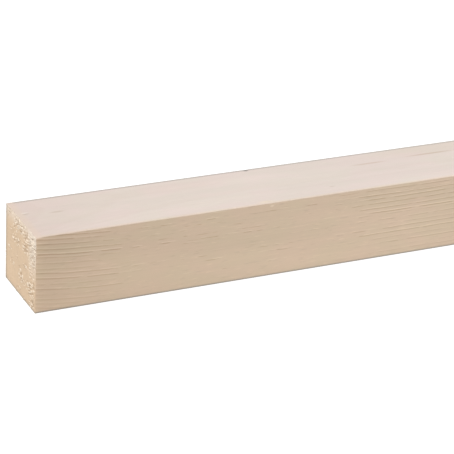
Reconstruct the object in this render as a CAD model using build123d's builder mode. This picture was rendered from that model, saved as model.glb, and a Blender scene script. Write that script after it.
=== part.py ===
"""Planed square timber: one length of softwood, planed on four sides and crosscut at both ends.

Millimetres. X runs along the grain, Y from the front face to the back face, and Z up from the underside.
The origin is on the underside, halfway along the length and halfway across the width.
"""

import os

from build123d import *

# Driving dimensions
stock_length = 1800.0  # from one sawn end to the other
planed_width = 44.0  # from the front face to the back face
planed_height = 44.0  # from the underside to the top
arris_radius = 0.5  # the planer eases the four long edges, and the sawn ends stay sharp

# The timber lies on its underside, so the section grows up from the base line
with BuildPart() as planed_timber:
    with BuildSketch(Plane.YZ.offset(-stock_length / 2)) as section:
        Rectangle(planed_width, planed_height, align=(Align.CENTER, Align.MIN))
        fillet(section.vertices(), radius=arris_radius)
    extrude(amount=stock_length)

planed_timber.part.label = "planed_timber"

os.makedirs("parts", exist_ok=True)
export_step(planed_timber.part, "parts/planed_timber.step")
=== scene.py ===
# %% [markdown]
# # A length of planed timber
# The real object is one piece of pale softwood. It was sawn to a square section, planed on its four long
# faces and cut across at both ends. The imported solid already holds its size, so this lesson only dresses it:
# a finer mesh with torn fibres on the sawn ends, a wood grain made from nodes, and a bright, plain studio
# around it.
#
# The frame is loaded first, because every size below is read from it. Its box is kept for a comparison at
# the end.

# %% Load the frame
import math

import bmesh
import bpy
from mathutils import Matrix, Vector, noise


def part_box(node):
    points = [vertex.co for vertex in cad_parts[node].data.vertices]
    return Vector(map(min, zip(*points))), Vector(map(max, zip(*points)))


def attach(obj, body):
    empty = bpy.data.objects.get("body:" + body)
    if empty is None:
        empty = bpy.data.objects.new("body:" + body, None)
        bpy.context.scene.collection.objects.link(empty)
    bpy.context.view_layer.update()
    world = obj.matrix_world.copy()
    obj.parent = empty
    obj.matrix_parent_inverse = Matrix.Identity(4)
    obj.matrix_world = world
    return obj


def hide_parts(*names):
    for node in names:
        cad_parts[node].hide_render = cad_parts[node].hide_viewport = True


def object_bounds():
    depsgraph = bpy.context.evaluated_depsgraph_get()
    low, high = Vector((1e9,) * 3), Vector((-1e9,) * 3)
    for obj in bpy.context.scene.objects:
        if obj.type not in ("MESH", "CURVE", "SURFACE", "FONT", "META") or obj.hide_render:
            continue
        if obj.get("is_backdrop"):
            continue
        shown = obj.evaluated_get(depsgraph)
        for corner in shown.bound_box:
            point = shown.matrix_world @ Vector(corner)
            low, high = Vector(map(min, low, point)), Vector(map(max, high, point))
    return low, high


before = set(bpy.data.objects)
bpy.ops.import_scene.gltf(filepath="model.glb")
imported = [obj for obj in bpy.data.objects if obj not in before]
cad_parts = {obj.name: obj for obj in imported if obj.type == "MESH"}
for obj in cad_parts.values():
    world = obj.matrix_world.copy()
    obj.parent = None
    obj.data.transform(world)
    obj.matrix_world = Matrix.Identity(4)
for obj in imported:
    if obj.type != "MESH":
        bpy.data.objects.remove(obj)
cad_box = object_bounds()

MM = 0.001
low, high = (Vector(corner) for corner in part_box("planed_timber"))
LENGTH, WIDTH, HEIGHT = high - low
print(f"timber {LENGTH / MM:.0f} x {WIDTH / MM:.0f} x {HEIGHT / MM:.0f} mm")

# %% [markdown]
# ## The camera
# The picture looks down on the near end from the front left, through a long lens, and it is tilted a little.
# A camera can be placed by hand until it looks right. Here it was fitted to the edges of the photograph
# instead, so a few angles and distances say it all. The camera's own right, up and back directions are the
# columns of its matrix.

# %% Place the camera
PICTURE_PX = 454
FOCAL_PX = 2105
SENSOR = 36.0
NEAREST_SEEN = 0.01
AZIMUTH, ELEVATION, ROLL = (math.radians(angle) for angle in (-27.43, 25.78, 4.06))
DISTANCE = 1.093
AIM_RIGHT, AIM_UP = 99.65 * MM, 45.12 * MM

level = Vector((math.cos(AZIMUTH), math.sin(AZIMUTH), 0))
back = Vector((
    math.sin(AZIMUTH) * math.cos(ELEVATION),
    -math.cos(AZIMUTH) * math.cos(ELEVATION),
    math.sin(ELEVATION),
))
upright = back.cross(level)
right = math.cos(ROLL) * level + math.sin(ROLL) * upright
up = math.cos(ROLL) * upright - math.sin(ROLL) * level
aim = low + AIM_RIGHT * right + AIM_UP * up
turned = Matrix((right, up, back)).transposed().to_4x4()

lens = bpy.data.cameras.new("photo_camera")
lens.sensor_fit = "HORIZONTAL"
lens.sensor_width = SENSOR
lens.lens = FOCAL_PX / PICTURE_PX * SENSOR
lens.clip_start = NEAREST_SEEN
camera = bpy.data.objects.new("photo_camera", lens)
camera.matrix_world = Matrix.Translation(aim + DISTANCE * back) @ turned
bpy.context.scene.collection.objects.link(camera)
bpy.context.scene.camera = camera
print(f"camera lens {lens.lens:.0f} mm, {DISTANCE:.2f} m from the near end")

# %% [markdown]
# ## The sawn end, as a fine grid
# A saw tears the fibres, so the end isn't flat: it has pits and tufts less than a millimetre deep. A bump in
# the material could hint at them, but it would leave the outline straight. So the mesh starts as a grid of
# small cells that can be pushed in and out later. The grid operator lies flat, and one matrix stands it up to
# face along minus X.

# %% Make the near end
CELL = MM / 3
HALF_UNIT = 0.5
columns, rows = round(WIDTH / CELL), round(HEIGHT / CELL)
timber = bmesh.new()
bmesh.ops.create_grid(timber, x_segments=columns, y_segments=rows, size=HALF_UNIT)
stand_up = Matrix(((0, 0, -1), (-1, 0, 0), (0, 1, 0))).to_4x4()
bmesh.ops.transform(timber, matrix=stand_up, verts=timber.verts)
bmesh.ops.scale(timber, vec=(1, WIDTH, HEIGHT), verts=timber.verts)
bmesh.ops.translate(timber, vec=(low.x, 0, HEIGHT / 2), verts=timber.verts)
near_end = list(timber.faces)
print(f"near end: {len(near_end)} cells of {CELL / MM:.2f} mm")

# %% [markdown]
# ## Pulling the section along the grain
# The timber is the same section all the way, so its rim is extruded station by station. The stations are
# close together beside the sawn ends, where fibres are torn, and around two small nicks in the upper arrises.
# In between they are wide apart, because a planed face needs no more.

# %% Choose the stations
STEP_GROWTH = 1.35
WIDEST_STEP = 40 * MM
NICK_STEP = 0.8 * MM
NICK_SPAN = (128 * MM, 146 * MM)


def stations(length):
    """Distances from the near end: fine beside both ends, coarse in the middle, fine again at the nicks."""
    places, place, step = [], 0.0, CELL
    while place + step < length / 2:
        place += step
        places.append(place)
        step = min(step * STEP_GROWTH, WIDEST_STEP)
    places += [length - place for place in places]
    nick_start, nick_end = NICK_SPAN
    places = [place for place in places if not nick_start < place < nick_end]
    count = round((nick_end - nick_start) / NICK_STEP)
    places += [nick_start + NICK_STEP * number for number in range(count + 1)]
    return sorted(places) + [length]


places = stations(LENGTH)
print(f"{len(places)} stations along the grain")

# %% Extrude the rim
rim = [edge for edge in timber.edges if edge.is_boundary]
reached = 0.0
for place in places:
    made = bmesh.ops.extrude_edge_only(timber, edges=rim)["geom"]
    rim = [part for part in made if isinstance(part, bmesh.types.BMEdge) and part.is_boundary]
    pulled = [part for part in made if isinstance(part, bmesh.types.BMVert)]
    bmesh.ops.translate(timber, vec=(place - reached, 0, 0), verts=pulled)
    reached = place
print(f"pulled {reached:.3f} m along the grain")

# %% [markdown]
# ## Closing the far end
# The far end is cut like the near one, so a copy of the same grid closes it. The copy is turned to face
# outwards and welded to the last rim. Recalculating the normals afterwards makes sure that the whole skin
# points outwards.

# %% Copy the end and weld it
WELD_DISTANCE = CELL / 10
copied = bmesh.ops.duplicate(timber, geom=near_end)["geom"]
far_points = [part for part in copied if isinstance(part, bmesh.types.BMVert)]
far_faces = [part for part in copied if isinstance(part, bmesh.types.BMFace)]
bmesh.ops.translate(timber, vec=(LENGTH, 0, 0), verts=far_points)
bmesh.ops.reverse_faces(timber, faces=far_faces)
last_rim = {point for edge in rim for point in edge.verts}
bmesh.ops.remove_doubles(timber, verts=far_points + list(last_rim), dist=WELD_DISTANCE)
bmesh.ops.recalc_face_normals(timber, faces=timber.faces)
open_edges = sum(edge.is_boundary for edge in timber.edges)
print(f"{len(timber.faces)} faces, {open_edges} open edges, volume {timber.calc_volume():.6f} cubic metres")

# %% [markdown]
# ## Two finishes and a map
# The planed faces and the sawn ends get their own materials, told apart by which way each face looks. While
# the shape is still a plain box, a map is easy to lay out too: four long strips, one for each planed face,
# and two squares for the ends. The first stretch of each strip is given more of the map, because that is the
# end people see up close.

# %% Lay out the map
LOOKS_ALONG = 0.5
FRONT_ROW, TOP_ROW, BACK_ROW, UNDER_ROW, ENDS_ROW = range(5)
MAP_MARGIN = 0.01
STRIP_HEIGHT = 0.185
KNEE_LENGTH, KNEE_SHARE = 300 * MM, 0.34


def along_map(x):
    """Where a distance along the grain falls across the map, from 0 to 1."""
    reach = x - low.x
    if reach < KNEE_LENGTH:
        return KNEE_SHARE * reach / KNEE_LENGTH
    return KNEE_SHARE + (1 - KNEE_SHARE) * (reach - KNEE_LENGTH) / (LENGTH - KNEE_LENGTH)


def map_place(point, facing):
    """The map corner for a point of the box on the face that looks along facing."""
    across, rise = point.y / WIDTH + 0.5, point.z / HEIGHT
    if abs(facing.x) > LOOKS_ALONG:
        row, u, v = ENDS_ROW, across * STRIP_HEIGHT, rise
        u += MAP_MARGIN + (STRIP_HEIGHT + MAP_MARGIN) * (facing.x > 0)
    else:
        u = MAP_MARGIN + along_map(point.x) * (1 - 2 * MAP_MARGIN)
        if abs(facing.y) > LOOKS_ALONG:
            row, v = (FRONT_ROW if facing.y < 0 else BACK_ROW), rise
        else:
            row, v = (TOP_ROW if facing.z > 0 else UNDER_ROW), across
    return u, MAP_MARGIN + row * (STRIP_HEIGHT + MAP_MARGIN) + v * STRIP_HEIGHT


print(f"the first {KNEE_LENGTH / MM:.0f} mm fill {along_map(low.x + KNEE_LENGTH):.0%} of each strip")

# %% Sort the faces
PLANED, SAWN = 0, 1
bake_map = timber.loops.layers.uv.new("OFBake")
for face in timber.faces:
    face.smooth = True
    face.material_index = SAWN if abs(face.normal.x) > LOOKS_ALONG else PLANED
    for loop in face.loops:
        loop[bake_map].uv = map_place(loop.vert.co, face.normal)
for edge in timber.edges:
    edge.smooth = len({face.material_index for face in edge.link_faces}) == 1
sawn_count = sum(face.material_index == SAWN for face in timber.faces)
print(f"{sawn_count} sawn faces, {len(timber.faces) - sawn_count} planed faces")

# %% [markdown]
# ## Easing the arrises
# A planer leaves the four long edges, the arrises, slightly rounded. A bevel would do that on a plain box,
# but here the strips beside each edge are narrower than the rounding. So the points in each corner square are
# drawn in to a quarter circle: each keeps its ring of the square, and its distance from the corner's middle
# becomes the same all along it.

# %% Round the four long edges
ARRIS_RADIUS = 0.5 * MM
for point in timber.verts:
    centre_side = math.copysign(WIDTH / 2 - ARRIS_RADIUS, point.co.y)
    centre_rise = HEIGHT / 2 + math.copysign(HEIGHT / 2 - ARRIS_RADIUS, point.co.z - HEIGHT / 2)
    side, rise = point.co.y - centre_side, point.co.z - centre_rise
    if side * point.co.y > 0 and rise * (point.co.z - HEIGHT / 2) > 0:
        draw_in = max(abs(side), abs(rise)) / math.hypot(side, rise)
        point.co.y = centre_side + side * draw_in
        point.co.z = centre_rise + rise * draw_in
print(f"arrises eased to {ARRIS_RADIUS / MM:.1f} mm")

# %% [markdown]
# ## Torn fibres
# On the near end the fibres are torn in patches, most of them below the upper edge and along the front edge,
# where the saw came out. A noise alone would spread the tears evenly. So each patch is an oval at the place
# where the photograph shows it. The list gives its middle from the front and from below, its half sizes along
# and across the saw's way, all in millimetres, and how torn it is.

# %% List the torn patches
TORN_PLACES = (
    ((37.0, 42.5), (5.0, 1.5), 0.5),
    ((27.0, 40.0), (4.5, 3.0), 1.0),
    ((19.0, 39.0), (6.0, 3.0), 1.0),
    ((13.5, 36.5), (4.5, 3.5), 1.0),
    ((5.0, 37.5), (5.5, 5.5), 1.0),
    ((4.5, 31.0), (5.0, 4.5), 1.0),
    ((15.5, 30.5), (4.0, 2.5), 1.0),
    ((29.0, 29.5), (5.5, 2.5), 0.8),
    ((3.5, 26.0), (4.0, 2.0), 0.7),
    ((38.5, 21.0), (3.0, 1.5), 0.8),
    ((14.5, 20.5), (4.0, 1.5), 0.7),
    ((6.0, 20.0), (5.0, 4.0), 0.45),
    ((21.0, 12.3), (4.0, 3.0), 0.8),
    ((2.5, 14.5), (2.5, 2.0), 1.0),
    ((8.0, 12.0), (5.0, 3.0), 1.0),
    ((6.3, 8.5), (4.0, 2.0), 1.0),
    ((5.0, 3.5), (4.0, 2.5), 1.0),
)
print(f"{len(TORN_PLACES)} torn patches on the near end")

# %% [markdown]
# A plain oval would look drawn on, so a noise makes its edge ragged. Between the patches, and all over the
# far end, which the photograph doesn't show, there are only a few faint tears. The saw's way is almost level
# and rises a little towards the front.

# %% Measure how torn a place is
SAW_SLANT = math.radians(5)
PATCH_EDGE, PATCH_CORE = 1.3, 0.6
RAGGED_SIZE, RAGGED_SHARE = 3.0, 0.8
FAINT_SIZE, FAINT_SHARE = 6.0, 0.34
FAINT_START, FAINT_FULL = 0.1, 0.4
NEAR_SEED, FAR_SEED = 47.9, 41.7


def fade(value, start, end):
    """0 at start and 1 at end, with a soft run between."""
    share = min(max((value - start) / (end - start), 0), 1)
    return share * share * (3 - 2 * share)


def saw_line(y, z, size):
    """A place on the end, measured along the saw's way and across it, in units of a size."""
    along = z * math.sin(SAW_SLANT) - y * math.cos(SAW_SLANT)
    across = z * math.cos(SAW_SLANT) + y * math.sin(SAW_SLANT)
    return along / size[0], across / size[1]


def faint_torn(y, z, seed):
    """How torn an end is away from any patch, at a place in millimetres from its front lower corner."""
    patch = noise.noise(Vector((y / FAINT_SIZE, z / FAINT_SIZE, seed)))
    return FAINT_SHARE * fade(patch, FAINT_START, FAINT_FULL)


def near_torn(y, z, seed):
    """How torn the near end is at such a place, from 0 to 1."""
    ragged = 1 + RAGGED_SHARE * noise.noise(Vector((y / RAGGED_SIZE, z / RAGGED_SIZE, seed)))
    shares = [faint_torn(y, z, seed)]
    for (middle_y, middle_z), size, share in TORN_PLACES:
        away = ragged * math.hypot(*saw_line(y - middle_y, z - middle_z, size))
        shares.append(share * fade(away, PATCH_EDGE, PATCH_CORE))
    return max(shares)


first_middle = TORN_PLACES[0][0]
print(f"the first patch is torn by {near_torn(*first_middle, NEAR_SEED):.2f} in its middle")

# %% [markdown]
# In a torn place the fibres stand up as tufts with pits between them. One noise, drawn out along the saw's
# way, makes the tufts, and a finer one the wisps on them. Fibres just behind the end move too, less and less
# over a short fringe. The height is kept on the points, so that the material can pale the tufts and darken
# the pits in the same places.

# %% Push the fibres in and out
TUFT_SIZE, TUFT_HEIGHT = (2.6, 0.75), 1.0
WISP_FINENESS, WISP_HEIGHT = 2.3, 0.45
FRINGE = 1.4 * MM


def tuft(y, z, seed):
    """Height of the torn fibres in millimetres where the end is fully torn."""
    place = Vector((*saw_line(y, z, TUFT_SIZE), seed))
    return TUFT_HEIGHT * noise.noise(place) + WISP_HEIGHT * noise.noise(WISP_FINENESS * place)


height_layer = timber.verts.layers.float.new("fibre_height")
for point in timber.verts:
    from_end = min(point.co.x - low.x, high.x - point.co.x)
    if from_end > FRINGE:
        continue
    y, z = (point.co.y + WIDTH / 2) / MM, point.co.z / MM
    if point.co.x < 0:
        outwards, rise = -1, near_torn(y, z, NEAR_SEED) * tuft(y, z, NEAR_SEED)
    else:
        outwards, rise = 1, faint_torn(y, z, FAR_SEED) * tuft(y, z, FAR_SEED)
    rise *= 1 - from_end / FRINGE
    point[height_layer] = rise
    point.co.x += outwards * rise * MM
furthest = low.x - min(point.co.x for point in timber.verts)
print(f"torn fibres reach {furthest / MM:.2f} mm past the end")

# %% [markdown]
# ## A cut that leans
# The saw didn't cut the near end quite square. In the photograph its top leans out by about half a
# millimetre. Turning the end would tear it from the long faces, so each point slides along the grain instead,
# in proportion to its height. The slide fades out further along, so the rest of the timber stays as it is.

# %% Lean the near end
CUT_LEAN = 0.5 * MM
LEAN_REACH = 30 * MM
for point in timber.verts:
    kept = 1 - min((point.co.x - low.x) / LEAN_REACH, 1)
    point.co.x -= CUT_LEAN * kept * point.co.z / HEIGHT
print(f"the near end leans out by {CUT_LEAN / MM:.1f} mm at its top")

# %% [markdown]
# ## Two nicks
# Knocks leave small dents in an arris. The photograph shows one on the front arris and one on the back arris,
# about 135 mm from the end. Points near each are pulled in towards the middle of the section, less and less
# with distance.

# %% Dent the arrises
NICKS = {
    "front": (Vector((low.x + 133 * MM, low.y, high.z)), Vector((0, 1, -1)).normalized(), 0.20 * MM),
    "back": (Vector((low.x + 139.5 * MM, high.y, high.z)), Vector((0, -1, -1)).normalized(), 0.15 * MM),
}
NICK_REACH = 2.0 * MM
NICK_CORE = 0.3 * NICK_REACH
for name, (centre, inwards, depth) in NICKS.items():
    dented = 0
    for point in timber.verts:
        away = (point.co - centre).length
        if away < NICK_REACH:
            point.co += inwards * depth * fade(away, NICK_REACH, NICK_CORE)
            dented += 1
    print(f"{name} nick moved {dented} points")

# %% [markdown]
# ## The piece
# The finished mesh becomes one object at the origin. It rides on the only body and stands for the imported
# solid.

# %% Make the object
mesh = bpy.data.meshes.new("dressed_timber")
timber.to_mesh(mesh)
timber.free()
dressed_timber = bpy.data.objects.new("dressed_timber", mesh)
bpy.context.scene.collection.objects.link(dressed_timber)
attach(dressed_timber, "root")
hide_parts("planed_timber")
print(f"dressed timber: {sum(len(face.vertices) - 2 for face in mesh.polygons)} triangles")

# %% [markdown]
# ## Small tools for node trees
# A wood grain is mostly arithmetic on a position. Nodes can be placed and linked one by one, but a formula is
# then hard to read. These helpers add a node, feed it numbers or links, and hand back its output, so that a
# formula in the code looks like a formula.


# %% Define the sums
def feed(tree, socket, value):
    """Links an output to a socket, or sets a plain value on it."""
    if isinstance(value, bpy.types.NodeSocket):
        tree.links.new(value, socket)
    else:
        socket.default_value = value


def calc(tree, operation, *values):
    """A sum on numbers."""
    node = tree.nodes.new("ShaderNodeMath")
    node.operation = operation
    for socket, value in zip(node.inputs, values):
        feed(tree, socket, value)
    return node.outputs[0]


def vector_calc(tree, operation, *values, output="Vector"):
    """A sum on vectors."""
    node = tree.nodes.new("ShaderNodeVectorMath")
    node.operation = operation
    for socket, value in zip(node.inputs, values):
        feed(tree, socket, value)
    return node.outputs[output]


def split(tree, vector):
    """The three numbers of a vector."""
    node = tree.nodes.new("ShaderNodeSeparateXYZ")
    feed(tree, node.inputs[0], vector)
    return node.outputs


print("sums ready")

# %% [markdown]
# Wood also needs soft steps, blots and mixed colours. Their nodes have many settings, so each helper fixes
# those that stay the same on this timber: a step is smooth, a blot has its own size along each axis, and a
# mix may go a little past its first colour. The mixing node has sockets for numbers, vectors and colours, and
# those for colours are picked by their place in the row.

# %% Define steps, blots and colours
NOISE_MIDDLE = 0.5
MIX_INPUTS, MIX_OUTPUT = (0, 6, 7), 2


def ramp(tree, value, start, end, first=0.0, last=1.0):
    """Goes softly from first to last while value goes from start to end."""
    node = tree.nodes.new("ShaderNodeMapRange")
    node.interpolation_type = "SMOOTHSTEP"
    for socket, setting in zip(node.inputs, (value, start, end, first, last)):
        feed(tree, socket, setting)
    return node.outputs[0]


def cloud(tree, position, size, detail=2.0):
    """A noise around zero whose blots have the given size along each axis."""
    scaled = vector_calc(tree, "DIVIDE", position, size)
    node = tree.nodes.new("ShaderNodeTexNoise")
    feed(tree, node.inputs["Vector"], scaled)
    feed(tree, node.inputs["Scale"], 1.0)
    feed(tree, node.inputs["Detail"], detail)
    return calc(tree, "SUBTRACT", node.outputs["Fac"], NOISE_MIDDLE)


def blend_colour(tree, share, first, second):
    """Two colours mixed by a share. A share below 0 goes a little past the first colour."""
    node = tree.nodes.new("ShaderNodeMix")
    node.data_type = "RGBA"
    node.clamp_factor = False
    for number, value in zip(MIX_INPUTS, (share, first, second)):
        feed(tree, node.inputs[number], value)
    return node.outputs[MIX_OUTPUT]


def brighten(tree, colour, light):
    """A colour times a number that is above or below 1."""
    node = tree.nodes.new("ShaderNodeVectorMath")
    node.operation = "SCALE"
    feed(tree, node.inputs["Vector"], colour)
    feed(tree, node.inputs["Scale"], light)
    return node.outputs["Vector"]


print("steps, blots and colours ready")

# %% [markdown]
# An effect that is used again, or that is easier to follow by itself, is built once as a node group and then
# placed where it is needed. One helper makes an empty group with its sockets, and another places it. Places
# on the timber are measured in millimetres from the near end, as on a drawing.


# %% Define the groups and the place
def new_group(name, inputs, outputs):
    """An empty node group with its sockets, and the two nodes inside that hold them."""
    tree = bpy.data.node_groups.new(name, "ShaderNodeTree")
    for label, kind, value in inputs:
        socket = tree.interface.new_socket(label, in_out="INPUT", socket_type=f"NodeSocket{kind}")
        if value is not None:
            socket.default_value = value
    for label, kind in outputs:
        tree.interface.new_socket(label, in_out="OUTPUT", socket_type=f"NodeSocket{kind}")
    return tree, tree.nodes.new("NodeGroupInput").outputs, tree.nodes.new("NodeGroupOutput").inputs


def use_group(tree, group, **values):
    """Places a group and feeds its inputs by name, with underscores for spaces."""
    node = tree.nodes.new("ShaderNodeGroup")
    node.node_tree = group
    for label, value in values.items():
        feed(tree, node.inputs[label.replace("_", " ")], value)
    return node.outputs


def millimetres(tree):
    """The place on the timber in millimetres, from the middle of the near end's lower edge."""
    coordinates = tree.nodes.new("ShaderNodeTexCoord")
    mapping = tree.nodes.new("ShaderNodeMapping")
    feed(tree, mapping.inputs["Vector"], coordinates.outputs["Object"])
    feed(tree, mapping.inputs["Location"], (-low.x / MM, 0, 0))
    feed(tree, mapping.inputs["Scale"], (1 / MM, 1 / MM, 1 / MM))
    return mapping.outputs[0]


print("groups and places ready")

# %% [markdown]
# ## A soft spot
# Several marks are a soft oval: a speck, a streak of resin, a stain. One small group draws them all. It
# measures how far a place is from the oval's middle, in units of the oval's own half sizes.

# %% Build the soft spot group
SPOT_EDGE, SPOT_CORE = 1.0, 0.25

soft_spot, given, result = new_group(
    "soft_spot",
    [("Position", "Vector", None), ("Middle", "Vector", None), ("Half Size", "Vector", (1, 1, 1))],
    [("Mask", "Float")],
)
tree = soft_spot
offset = vector_calc(tree, "SUBTRACT", given["Position"], given["Middle"])
in_half_sizes = vector_calc(tree, "DIVIDE", offset, given["Half Size"])
away = vector_calc(tree, "LENGTH", in_half_sizes, output="Value")
feed(tree, result["Mask"], ramp(tree, away, SPOT_EDGE, SPOT_CORE))
print(f"soft spot: {len(tree.nodes)} nodes")

# %% [markdown]
# ## Growth rings
# A tree adds a ring each year: pale early wood, then a thin dark line of late wood, and the next early wood
# is palest where it starts. The heart of this tree lay below the timber, so on its end the rings are flat
# arcs, and on the front face they show as lines. A wave texture would give even stripes. Real rings differ,
# so each ring here has its own height on the front of the near end and its own darkness, taken from the
# photograph line by line, and every ring is drawn by the same small group.

# %% [markdown]
# Planing doesn't show every ring alike. On the front face the lines run unbroken beside the near end, thin
# out to a few short dashes from about 70 to 180 mm, and come back after that. Fading them all alike would
# leave faint lines there, so they are broken up instead. One group takes a noise that is long and thin like
# the lines and says how far it is above a limit. The limit is low where the lines are plain and high where
# only dashes are left.

# %% Build where the lines break
NEAR_CLEAR, NEAR_GONE = 5.0, 70.0
FAR_START, FAR_CLEAR = 178.0, 208.0
NEAR_LIMIT, DASH_LIMIT, FAR_LIMIT = -0.12, 0.18, -0.02
BREAK_SIZE = (11.0, 1.8, 1.8)

ring_breaks, given, result = new_group("ring_breaks", [("Position", "Vector", None)], [("Margin", "Float")])
tree, position = ring_breaks, given["Position"]
x = split(tree, position)["X"]
near = ramp(tree, x, NEAR_CLEAR, NEAR_GONE, NEAR_LIMIT, DASH_LIMIT)
far = ramp(tree, x, FAR_START, FAR_CLEAR, 0.0, FAR_LIMIT - DASH_LIMIT)
limit = calc(tree, "ADD", near, far)
feed(tree, result["Margin"], calc(tree, "SUBTRACT", cloud(tree, position, BREAK_SIZE), limit))
print(f"ring breaks: {len(tree.nodes)} nodes")

# %% [markdown]
# One ring line is dark where its late wood is, fades downwards into the early wood and has a pale start of
# the next ring above it. Beside the sawn end the late wood has soaked up dirt and looks broader, which is
# what the spread is for. A bold ring also breaks off less easily than a faint one, so its darkness helps it
# over the limit.

# %% Build one ring line
LATE_START, LATE_FULL, LATE_END = -0.6, 0.0, 0.4
PALE_END, PALE_SHARE = 1.1, 0.6
BOLDNESS, BREAK_SOFTNESS = 0.16, 0.10

ring_line, given, result = new_group(
    "ring_line",
    [
        ("Height", "Float", 0.0),
        ("Ring Height", "Float", 0.0),
        ("Darkness", "Float", 1.0),
        ("Spread", "Float", 1.0),
        ("Margin", "Float", 0.0),
    ],
    [("Late Wood", "Float"), ("Shown", "Float")],
)
tree = ring_line
above = calc(tree, "SUBTRACT", given["Height"], given["Ring Height"])
grows = ramp(tree, calc(tree, "DIVIDE", above, given["Spread"]), LATE_START, LATE_FULL)
line = calc(tree, "MULTIPLY", grows, ramp(tree, above, LATE_END, LATE_FULL))
starts = ramp(tree, above, LATE_FULL, LATE_END, 0.0, PALE_SHARE)
pale = calc(tree, "MULTIPLY", starts, ramp(tree, above, PALE_END, LATE_END))
line = calc(tree, "MULTIPLY", calc(tree, "SUBTRACT", line, pale), given["Darkness"])
margin = calc(tree, "MULTIPLY_ADD", given["Darkness"], BOLDNESS, given["Margin"])
feed(tree, result["Late Wood"], line)
feed(tree, result["Shown"], calc(tree, "MULTIPLY", line, ramp(tree, margin, 0.0, BREAK_SOFTNESS)))
print(f"ring line: {len(tree.nodes)} nodes")

# %% [markdown]
# The lines run down towards the right beside the near end, more steeply lower down, and settle along the
# timber, sooner at the bottom than at the top. So a place's height is first corrected for the bend of the
# rings, for that drift and for a gentle wave.

# %% Correct the height
PITH_SIDE, PITH_DEPTH = 10.0, 70.0
DRIFT_BELOW, DRIFT_ABOVE = 4.6, 5.9
SETTLE_BELOW, SETTLE_ABOVE = 25.0, 45.0
WAVE_SIZE, WAVE_HEIGHT = (260.0, 70.0, 70.0), 3.0
RIPPLE_SIZE, RIPPLE_HEIGHT = (24.0, 5.0, 5.0), 1.2

growth_rings, given, result = new_group(
    "growth_rings",
    [("Position", "Vector", None)],
    [("Late Wood", "Float"), ("Shown", "Float")],
)
tree, position = growth_rings, given["Position"]
x, y, z = split(tree, position)
aside = calc(tree, "POWER", calc(tree, "SUBTRACT", y, PITH_SIDE), 2.0)
front_aside = (-WIDTH / MM / 2 - PITH_SIDE) ** 2
ring_diameter = 2 * (PITH_DEPTH + HEIGHT / MM / 2)
bend = calc(tree, "DIVIDE", calc(tree, "SUBTRACT", aside, front_aside), ring_diameter)
share_up = calc(tree, "DIVIDE", z, HEIGHT / MM)
settle = calc(tree, "MULTIPLY_ADD", share_up, SETTLE_BELOW - SETTLE_ABOVE, -SETTLE_BELOW)
settled = calc(tree, "SUBTRACT", 1.0, calc(tree, "EXPONENT", calc(tree, "DIVIDE", x, settle)))
drift = calc(tree, "MULTIPLY_ADD", share_up, DRIFT_ABOVE - DRIFT_BELOW, DRIFT_BELOW)
drift = calc(tree, "MULTIPLY", drift, settled)
wave = calc(tree, "MULTIPLY", cloud(tree, position, WAVE_SIZE), WAVE_HEIGHT)
wave = calc(tree, "MULTIPLY", wave, settled)
ripple = calc(tree, "MULTIPLY", cloud(tree, position, RIPPLE_SIZE), RIPPLE_HEIGHT)
height = z
for part in (bend, drift, wave, ripple):
    height = calc(tree, "ADD", height, part)
print(f"corrected height: {len(tree.nodes)} nodes")

# %% [markdown]
# The corrected height is then compared with every ring. The list gives each ring's height in millimetres and
# its darkness, from the lowest ring to the highest. The group hands back all the late wood, and the part of
# it that shows.

# %% Compare it with every ring
RINGS = (
    (-7.6, 0.5), (-4.7, 0.5), (-1.6, 0.35), (1.0, 0.3), (3.6, 0.35), (6.0, 0.25), (8.4, 0.4), (11.2, 0.25),
    (14.2, 0.65), (17.2, 0.4), (20.5, 0.75), (23.6, 0.7), (26.0, 0.35), (29.2, 0.5), (32.6, 0.5), (34.4, 1.0),
    (37.0, 0.75), (40.0, 0.75), (42.8, 0.8), (45.1, 0.85), (46.1, 0.4), (48.2, 0.65), (50.8, 0.5),
)
END_SPREAD, SPREAD_LENGTH = 1.2, 12.0

from_end = calc(tree, "EXPONENT", calc(tree, "DIVIDE", x, -SPREAD_LENGTH))
spread = calc(tree, "MULTIPLY_ADD", from_end, END_SPREAD, 1.0)
margin = use_group(tree, ring_breaks, Position=position)["Margin"]
common = {"Height": height, "Spread": spread, "Margin": margin}
late, shown = 0.0, 0.0
for ring_height, darkness in RINGS:
    ring = use_group(tree, ring_line, Ring_Height=ring_height, Darkness=darkness, **common)
    late = calc(tree, "ADD", late, ring["Late Wood"])
    shown = calc(tree, "ADD", shown, ring["Shown"])
feed(tree, result["Late Wood"], late)
feed(tree, result["Shown"], shown)
print(f"growth rings: {len(RINGS)} rings, {len(tree.nodes)} nodes")

# %% [markdown]
# ## Fibres
# Between the rings a planed face shows the fibres themselves: very thin streaks along the grain, and short
# dashes, pale where a fibre lies open and dark where one is torn out. Both are noises that are stretched
# along X. The group also gives two slow changes over the face, one of tone and one of tint, because no board
# has one colour all over.

# %% Build the fibres
STREAK_SIZE, STREAK_DETAIL = (70.0, 1.0, 1.0), 3.0
DASH_SIZE, DASH_DETAIL = (8.0, 1.0, 1.0), 1.0
DASH_START, DASH_FULL = 0.13, 0.20
TONE_SIZE = (120.0, 14.0, 14.0)
TINT_SIZE, TINT_DETAIL, TINT_FULL = (24.0, 10.0, 10.0), 1.0, 0.15

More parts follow.
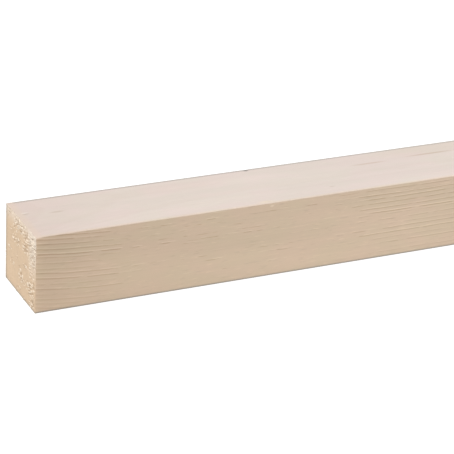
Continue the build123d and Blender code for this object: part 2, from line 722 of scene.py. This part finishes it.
fibres, given, result = new_group(
    "fibres",
    [("Position", "Vector", None)],
    [("Streak", "Float"), ("Dash", "Float"), ("Tone", "Float"), ("Tint", "Float")],
)
tree, position = fibres, given["Position"]
feed(tree, result["Streak"], cloud(tree, position, STREAK_SIZE, STREAK_DETAIL))
dash = cloud(tree, position, DASH_SIZE, DASH_DETAIL)
pale_dash = ramp(tree, dash, DASH_START, DASH_FULL)
dark_dash = ramp(tree, dash, -DASH_START, -DASH_FULL)
feed(tree, result["Dash"], calc(tree, "SUBTRACT", pale_dash, dark_dash))
feed(tree, result["Tone"], cloud(tree, position, TONE_SIZE))
tint = cloud(tree, position, TINT_SIZE, TINT_DETAIL)
feed(tree, result["Tint"], ramp(tree, tint, -TINT_FULL, TINT_FULL))
print(f"fibres: {len(tree.nodes)} nodes")

# %% [markdown]
# ## Two finishes
# Both finishes start from one main shader. Both also read the height of the torn fibres back from the mesh,
# and both have a relief that is too fine for the mesh, so it only shades the surface. The tones are those of
# early and late wood on the front face, the top and the sawn ends, then those of torn fibres, and a faint
# change of tint.

# %% Choose the tones
SIDE_EARLY, SIDE_LATE = (0.597, 0.462, 0.335, 1), (0.446, 0.312, 0.205, 1)
# The top tones are paler and greyer than the front ones, partly as wood along the rings and partly as a
# painted sheen.
TOP_EARLY_WITH_SHEEN, TOP_LATE_WITH_SHEEN = (0.760, 0.660, 0.595, 1), (0.660, 0.540, 0.450, 1)
END_EARLY, END_LATE = (0.626, 0.466, 0.315, 1), (0.530, 0.370, 0.235, 1)
TORN_GREY, TORN_PALE, TORN_PIT = (0.71, 0.61, 0.51, 1), (0.83, 0.715, 0.58, 1), (0.46, 0.345, 0.24, 1)
TINT_GREEN, TINT_PINK = (0.987, 1.003, 0.990, 1), (1.013, 0.997, 1.010, 1)
print(f"early wood in front {SIDE_EARLY[:3]}, on top {TOP_EARLY_WITH_SHEEN[:3]}, on the ends {END_EARLY[:3]}")


# %% Define what both finishes share
def plain_material(name, roughness):
    """A material with one main shader, and that shader's inputs."""
    material = bpy.data.materials.new(name)
    material.use_nodes = True
    shader = material.node_tree.nodes["Principled BSDF"]
    shader.inputs["Roughness"].default_value = roughness
    return material, material.node_tree, shader.inputs


def fibre_height(tree):
    """The height of the torn fibres in millimetres, as the mesh keeps it."""
    node = tree.nodes.new("ShaderNodeAttribute")
    node.attribute_name = "fibre_height"
    return node.outputs["Fac"]


def fine_relief(tree, shader, height, strength, depth):
    """Shades a surface as if its height changed by up to depth."""
    node = tree.nodes.new("ShaderNodeBump")
    feed(tree, node.inputs["Strength"], strength)
    feed(tree, node.inputs["Distance"], depth)
    feed(tree, node.inputs["Height"], height)
    feed(tree, shader["Normal"], node.outputs["Normal"])


print("shader, fibre height and relief ready")

# %% [markdown]
# ## The planed faces
# The front and back faces cut across the rings and look tan, with lines. The top and the underside run along
# the rings, so they are almost plain, and they are paler and greyer, partly as wood and partly as a painted
# sheen. One material serves all four. A place lies on the top or the underside when it is further from the
# timber's middle line upright than sideways, and the two tones blend over the eased arris between.

# %% [markdown]
# Marks from the photograph are soft spots, each with a middle, half sizes, a colour and a strength. A spot
# that is drawn out along the whole timber is a soft line, and so the arrises come into the same list: the
# front upper one gets a painted highlight, the back upper one a grey line of painted shade, and the lower
# ones a grey-brown painted shade where they meet the floor. A beige strip across the top at the near end and
# two broad, faint stains follow. The rest are small specks and streaks, and a dark spot of painted shade in
# the back nick.

# %% List the marks
MIDDLE, ALONG = LENGTH / MM / 2, 10 * LENGTH / MM
FRONT, BACK, TOP = low.y / MM, high.y / MM, high.z / MM
ARRIS_HIGHLIGHT, ARRIS_SHADE_GREY = (0.78, 0.655, 0.52, 1), (0.46, 0.42, 0.38, 1)
ARRIS_DARK = (0.235, 0.218, 0.188, 1)
MARK_BROWN, NICK_SHADE = (0.48, 0.37, 0.28, 1), (0.28, 0.25, 0.22, 1)
MARK_RUST, MARK_PALE = (0.61, 0.47, 0.37, 1), (0.82, 0.69, 0.53, 1)
MARK_BEIGE, MARK_WHITE = (0.80, 0.67, 0.56, 1), (0.92, 0.86, 0.80, 1)
MARKS = (
    # A pale line along the front upper arris: a painted highlight.
    ((MIDDLE, FRONT + 1.0, TOP + 0.3), (ALONG, 1.5, 0.8), ARRIS_HIGHLIGHT, 0.65),
    # A grey line along the back upper arris: painted shade where it rounds away.
    ((MIDDLE, BACK - 0.7, TOP + 0.2), (ALONG, 1.9, 0.9), ARRIS_SHADE_GREY, 0.72),
    # Dark lines along both lower arrises: painted shade where the timber meets the floor.
    ((MIDDLE, FRONT, 0.0), (ALONG, 1.4, 1.4), ARRIS_DARK, 0.90),
    ((MIDDLE, BACK, 0.0), (ALONG, 1.4, 1.4), ARRIS_DARK, 0.90),
    ((0.0, 0.0, TOP), (5.0, ALONG, 0.8), MARK_BEIGE, 0.70),
    ((90.0, 12.0, TOP), (48.0, 8.0, 3.0), MARK_BROWN, 0.12),
    ((252.0, 16.0, TOP), (55.0, 9.0, 3.0), MARK_RUST, 0.18),
    ((4.5, 6.0, TOP), (2.8, 0.8, 3.0), MARK_BROWN, 0.40),
    ((4.3, 7.3, TOP), (2.8, 0.9, 3.0), MARK_WHITE, 0.50),
    ((21.0, 3.7, TOP), (6.0, 1.2, 3.0), MARK_BROWN, 0.34),
    ((211.0, 8.0, TOP), (15.0, 1.1, 3.0), MARK_RUST, 0.60),
    ((252.0, 9.8, TOP), (22.0, 1.2, 3.0), MARK_RUST, 0.70),
    ((176.0, -13.0, TOP), (2.4, 0.8, 3.0), MARK_BROWN, 0.30),
    ((132.0, -19.5, TOP), (7.0, 1.8, 2.0), MARK_PALE, 0.60),
    # A dark spot in the back nick: painted shade in the dent.
    ((139.5, BACK - 0.9, TOP), (2.2, 2.4, 2.4), NICK_SHADE, 0.95),
    ((134.8, FRONT, 42.3), (1.8, 2.0, 0.8), MARK_PALE, 0.45),
    ((140.5, FRONT, 42.6), (2.6, 2.0, 0.7), MARK_BROWN, 0.40),
    ((89.5, FRONT, 39.5), (4.0, 2.0, 0.8), MARK_BROWN, 0.30),
    ((76.0, FRONT, 40.2), (4.0, 2.0, 0.8), MARK_BROWN, 0.25),
    ((121.0, FRONT, 16.3), (5.0, 2.0, 0.8), MARK_BROWN, 0.22),
    ((127.0, FRONT, 9.8), (4.5, 2.0, 0.8), MARK_BROWN, 0.22),
)
print(f"{len(MARKS)} marks")

# %% Colour the planed faces
PLANED_ROUGHNESS = 0.55
LYING_START, LYING_FULL = -0.4, 0.8
RING_DARK_NEAR, RING_DARK_FAR, RING_DARK_TOP = 0.92, 1.04, 0.10
FRAYED_START, FRAYED_FULL, FRAYED_PALE = 0.02, 0.2, 0.7

planed_faces, tree, shader = plain_material("planed_faces", PLANED_ROUGHNESS)
position = millimetres(tree)
x, y, z = split(tree, position)
wood_rings = use_group(tree, growth_rings, Position=position)
rings, shown = wood_rings["Late Wood"], wood_rings["Shown"]
wood_fibres = use_group(tree, fibres, Position=position)
from_middle = calc(tree, "ABSOLUTE", calc(tree, "SUBTRACT", z, HEIGHT / MM / 2))
sideways = calc(tree, "ABSOLUTE", y)
lying = ramp(tree, calc(tree, "SUBTRACT", from_middle, sideways), LYING_START, LYING_FULL)

ring_dark = ramp(tree, x, NEAR_CLEAR, FAR_CLEAR, RING_DARK_NEAR, RING_DARK_FAR)
side = blend_colour(tree, calc(tree, "MULTIPLY", shown, ring_dark), SIDE_EARLY, SIDE_LATE)
# The top and the underside take the paler tones, which hold a painted sheen.
top = blend_colour(tree, calc(tree, "MULTIPLY", rings, RING_DARK_TOP), TOP_EARLY_WITH_SHEEN, TOP_LATE_WITH_SHEEN)
wood = blend_colour(tree, lying, side, top)
for middle, half_size, colour, strength in MARKS:
    spot = use_group(tree, soft_spot, Position=position, Middle=middle, Half_Size=half_size)["Mask"]
    wood = blend_colour(tree, calc(tree, "MULTIPLY", spot, strength), wood, colour)
# Torn fibres at the end of the planed faces are paler, partly as a painted highlight.
frayed = ramp(tree, fibre_height(tree), FRAYED_START, FRAYED_FULL, 0.0, FRAYED_PALE)
wood = blend_colour(tree, frayed, wood, TORN_PALE)
print(f"colours of the planed faces: {len(tree.nodes)} nodes")

# %% [markdown]
# Over these colours lie the changes that follow no line: fibres, which show less on the top, slow changes of
# tone and tint, a front face that is a little paler below as painted light, and a warm painted shade beside
# the near end that fades along the grain. Right at the end the torn edge of the front face is paler.

# %% Vary the tone and finish the planed faces
TOP_CALM = 0.6
DASH_LIGHT, FIBRE_LIGHT, TONE_LIGHT = 0.70, 0.10, 0.18
PAINTED_LIGHT_BELOW = 0.028
PAINTED_END_SHADE_SIDE, PAINTED_END_SHADE_TOP = (0.828, 0.803, 0.762, 1), (0.936, 0.903, 0.893, 1)
PAINTED_END_SHADE_LENGTH, UNSHADED = 55.0, (1, 1, 1, 1)
FRINGE_LIGHT, FRINGE_LENGTH = 0.15, 3.0
STREAK_ROUGHNESS = 0.25
PLANED_RELIEF, PLANED_DEPTH, RING_RELIEF = 0.35, 0.05 * MM, 0.5

fibre_depth = calc(tree, "MULTIPLY_ADD", lying, -TOP_CALM, 1.0)
fibre_light = calc(tree, "MULTIPLY_ADD", wood_fibres["Dash"], DASH_LIGHT, wood_fibres["Streak"])
light = calc(tree, "MULTIPLY_ADD", fibre_light, calc(tree, "MULTIPLY", fibre_depth, FIBRE_LIGHT), 1.0)
light = calc(tree, "MULTIPLY_ADD", wood_fibres["Tone"], TONE_LIGHT, light)
# The front and back faces are a little paler towards the floor: painted light.
painted_light_below = ramp(tree, z, 0.0, HEIGHT / MM, PAINTED_LIGHT_BELOW, -PAINTED_LIGHT_BELOW)
light = calc(tree, "MULTIPLY_ADD", painted_light_below, calc(tree, "SUBTRACT", 1.0, lying), light)
# A warm painted shade beside the near end, fading along the grain.
from_end = calc(tree, "EXPONENT", calc(tree, "DIVIDE", x, -PAINTED_END_SHADE_LENGTH))
painted_end_shade = blend_colour(tree, lying, PAINTED_END_SHADE_SIDE, PAINTED_END_SHADE_TOP)
wood = vector_calc(tree, "MULTIPLY", wood, blend_colour(tree, from_end, UNSHADED, painted_end_shade))
fringe = calc(tree, "EXPONENT", calc(tree, "DIVIDE", x, -FRINGE_LENGTH))
fringe_light = calc(tree, "MULTIPLY_ADD", lying, -FRINGE_LIGHT, FRINGE_LIGHT)
light = calc(tree, "MULTIPLY_ADD", fringe, fringe_light, light)
tint = blend_colour(tree, wood_fibres["Tint"], TINT_GREEN, TINT_PINK)
wood = vector_calc(tree, "MULTIPLY", wood, tint)
feed(tree, shader["Base Color"], brighten(tree, wood, light))

roughness = calc(tree, "MULTIPLY_ADD", wood_fibres["Streak"], STREAK_ROUGHNESS, PLANED_ROUGHNESS)
feed(tree, shader["Roughness"], roughness)
grain = calc(tree, "MULTIPLY_ADD", rings, RING_RELIEF, wood_fibres["Streak"])
fine_relief(tree, shader, grain, PLANED_RELIEF, PLANED_DEPTH)
mesh.materials.append(planed_faces)
print(f"planed faces: {len(tree.nodes)} nodes")

# %% [markdown]
# ## The sawn ends
# End grain is warmer and duller than a planed face. Where fibres are torn their tips are paler and carry a
# painted highlight, and the pits between them get painted shade. The height of the torn fibres says where,
# and a fine noise frays the edges of these flecks, because the mesh alone would leave them smooth. The same
# rings run through, but the saw hides most of them. On the near end alone, a strip below the upper edge and
# one along the front edge are greyer, most of all in the corner between them, and the back edge is a little
# darker. A mask keeps these off the far end.

# %% Find the torn flecks and the grey strips
SAWN_ROUGHNESS = 0.85
FRAY_SIZE, FRAY_SHARE = (0.6, 1.0, 0.3), 6.0
TUFT_START, TUFT_FULL = 0.07, 0.18
PIT_START, PIT_FULL = -0.07, -0.20
TOP_STRIP, TOP_STRIP_GREY = 10.0, 0.68
FRONT_STRIP_EDGE, FRONT_STRIP_CORE = 13.0, 7.0
FRONT_STRIP_START, FRONT_STRIP_FULL, FRONT_STRIP_GREY = 12.0, 36.0, 0.75
GREYEST = 0.95
BACK_EDGE, BACK_EDGE_DARK = 4.0, 0.42

sawn_ends, tree, shader = plain_material("sawn_ends", SAWN_ROUGHNESS)
position = millimetres(tree)
x, y, z = split(tree, position)
rings = use_group(tree, growth_rings, Position=position)["Late Wood"]
fray = calc(tree, "MULTIPLY_ADD", cloud(tree, position, FRAY_SIZE), FRAY_SHARE, 1.0)
frayed = calc(tree, "MULTIPLY", fibre_height(tree), fray)
pale = ramp(tree, frayed, TUFT_START, TUFT_FULL)
pit = ramp(tree, frayed, PIT_START, PIT_FULL)
top_strip = ramp(tree, z, TOP - TOP_STRIP, TOP, 0.0, TOP_STRIP_GREY)
front_strip = ramp(tree, y, FRONT + FRONT_STRIP_EDGE, FRONT + FRONT_STRIP_CORE)
front_rise = ramp(tree, z, FRONT_STRIP_START, FRONT_STRIP_FULL, 0.0, FRONT_STRIP_GREY)
front_strip = calc(tree, "MULTIPLY", front_strip, front_rise)
grey = calc(tree, "MINIMUM", calc(tree, "ADD", top_strip, front_strip), GREYEST)
back_edge = ramp(tree, y, BACK - BACK_EDGE, BACK, 0.0, BACK_EDGE_DARK)
near = calc(tree, "LESS_THAN", x, MIDDLE)
print(f"flecks and strips: {len(tree.nodes)} nodes")

# %% [markdown]
# The teeth left faint upright streaks, and the lower edges are a little darker, with painted shade where
# they meet the floor. A fine grain over it all gives both a change of light and a relief.

# %% Colour and finish the sawn ends
RING_DARK_END = 0.18
TUFT_SHARE, PIT_SHARE = 0.90, 0.58
LOWER_EDGE, LOWER_EDGE_DARK = 1.9, 0.65
GRAIN_SIZE, GRAIN_DETAIL, GRAIN_LIGHT = (0.9, 0.9, 0.9), 1.0, 0.14
SAW_STREAK_SIZE, SAW_STREAK_LIGHT = (2.0, 1.6, 8.0), 0.12
END_TONE_SIZE, END_TONE_LIGHT = (12.0, 12.0, 12.0), 0.15
GROUND_REACH, GROUND_SHADE = 14.0, 0.03
SAWN_RELIEF, SAWN_DEPTH = 0.5, 0.15 * MM

wood = blend_colour(tree, calc(tree, "MULTIPLY", rings, RING_DARK_END), END_EARLY, END_LATE)
wood = blend_colour(tree, calc(tree, "MULTIPLY", grey, near), wood, TORN_GREY)
# Pale tips of torn fibres: partly their own colour, partly a painted highlight.
wood = blend_colour(tree, calc(tree, "MULTIPLY", pale, TUFT_SHARE), wood, TORN_PALE)
# Dark pits between the torn fibres: painted shade.
wood = blend_colour(tree, calc(tree, "MULTIPLY", pit, PIT_SHARE), wood, TORN_PIT)
# Darker towards the lower edge: painted shade where the end meets the floor.
wood = blend_colour(tree, ramp(tree, z, LOWER_EDGE, 0.0, 0.0, LOWER_EDGE_DARK), wood, ARRIS_DARK)
wood = blend_colour(tree, calc(tree, "MULTIPLY", back_edge, near), wood, ARRIS_DARK)

grain = cloud(tree, position, GRAIN_SIZE, GRAIN_DETAIL)
light = calc(tree, "MULTIPLY_ADD", grain, GRAIN_LIGHT, 1.0)
light = calc(tree, "MULTIPLY_ADD", cloud(tree, position, SAW_STREAK_SIZE), SAW_STREAK_LIGHT, light)
light = calc(tree, "MULTIPLY_ADD", cloud(tree, position, END_TONE_SIZE), END_TONE_LIGHT, light)
light = calc(tree, "ADD", light, ramp(tree, z, 0.0, GROUND_REACH, -GROUND_SHADE, 0.0))
feed(tree, shader["Base Color"], brighten(tree, wood, light))
fine_relief(tree, shader, grain, SAWN_RELIEF, SAWN_DEPTH)
mesh.materials.append(sawn_ends)
print(f"sawn ends: {len(tree.nodes)} nodes")

# %% [markdown]
# ## Floor
# The timber lies on a plain white floor. It is far larger than the view, so that no edge shows from any side,
# and it lies a hair below the timber so that the two surfaces don't share one plane. It glows a little and
# has no gloss, so it stays as even and as white as the paper of a product picture.

# %% Lay the floor
FLOOR_REACH, FLOOR_DROP = 30.0, 0.1 * MM
FLOOR_WHITE, FLOOR_GLOW = (0.38, 0.38, 0.38, 1), 0.80
FLOOR_ROUGHNESS, FLOOR_GLOSS = 1.0, 0.0
ground = bmesh.new()
bmesh.ops.create_grid(ground, x_segments=1, y_segments=1, size=FLOOR_REACH)
bmesh.ops.translate(ground, vec=(0, 0, low.z - FLOOR_DROP), verts=ground.verts)
floor_mesh = bpy.data.meshes.new("floor")
ground.to_mesh(floor_mesh)
ground.free()
floor = bpy.data.objects.new("floor", floor_mesh)
bpy.context.scene.collection.objects.link(floor)
floor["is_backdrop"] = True
floor_white, tree, shader = plain_material("floor_white", FLOOR_ROUGHNESS)
shader["Base Color"].default_value = FLOOR_WHITE
shader["Emission Color"].default_value = (1, 1, 1, 1)
shader["Emission Strength"].default_value = FLOOR_GLOW
shader["Specular IOR Level"].default_value = FLOOR_GLOSS
floor_mesh.materials.append(floor_white)
print(f"floor {2 * FLOOR_REACH:.0f} m wide")

# %% [markdown]
# ## Light
# A product studio is a white tent: light comes from everywhere, a little more from above and from the left.
# The sky colour gives the even part. A sun with a very wide disc gives the rest, and unlike a lamp it lights
# the whole length alike. The camera sees the sky as pure white.

# %% Light the studio
SKY_STRENGTH, SKY_SEEN = 0.52, 1.0
SUN_STRENGTH, SUN_WIDTH = 1.95, math.radians(70)
SUN_FROM = Vector((-0.28, -0.10, 0.55))

world = bpy.data.worlds.new("white_studio")
world.use_nodes = True
bpy.context.scene.world = world
tree = world.node_tree
sky = tree.nodes["Background"]
seen = tree.nodes.new("ShaderNodeLightPath").outputs["Is Camera Ray"]
sky.inputs["Color"].default_value = (1, 1, 1, 1)
feed(tree, sky.inputs["Strength"], ramp(tree, seen, 0.0, 1.0, SKY_STRENGTH, SKY_SEEN))
sun_data = bpy.data.lights.new("soft_sun", "SUN")
sun_data.energy = SUN_STRENGTH
sun_data.angle = SUN_WIDTH
sun = bpy.data.objects.new("soft_sun", sun_data)
sun.rotation_euler = SUN_FROM.to_track_quat("Z", "Y").to_euler()
bpy.context.scene.collection.objects.link(sun)
bpy.context.scene.view_settings.view_transform = "Standard"
sun_way = tuple(round(part, 2) for part in SUN_FROM.normalized())
print(f"sky {SKY_STRENGTH}, sun {SUN_STRENGTH} from {sun_way}")

# %% [markdown]
# ## Checking the size
# Dressing must not change the object's size, apart from the lean and the torn fibres, which reach about a
# millimetre past the near end.

# %% Compare the boxes and finish
visual_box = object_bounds()
largest_change = max((a - b).length for a, b in zip(cad_box, visual_box))
print(f"largest change of the box {largest_change / MM:.2f} mm")
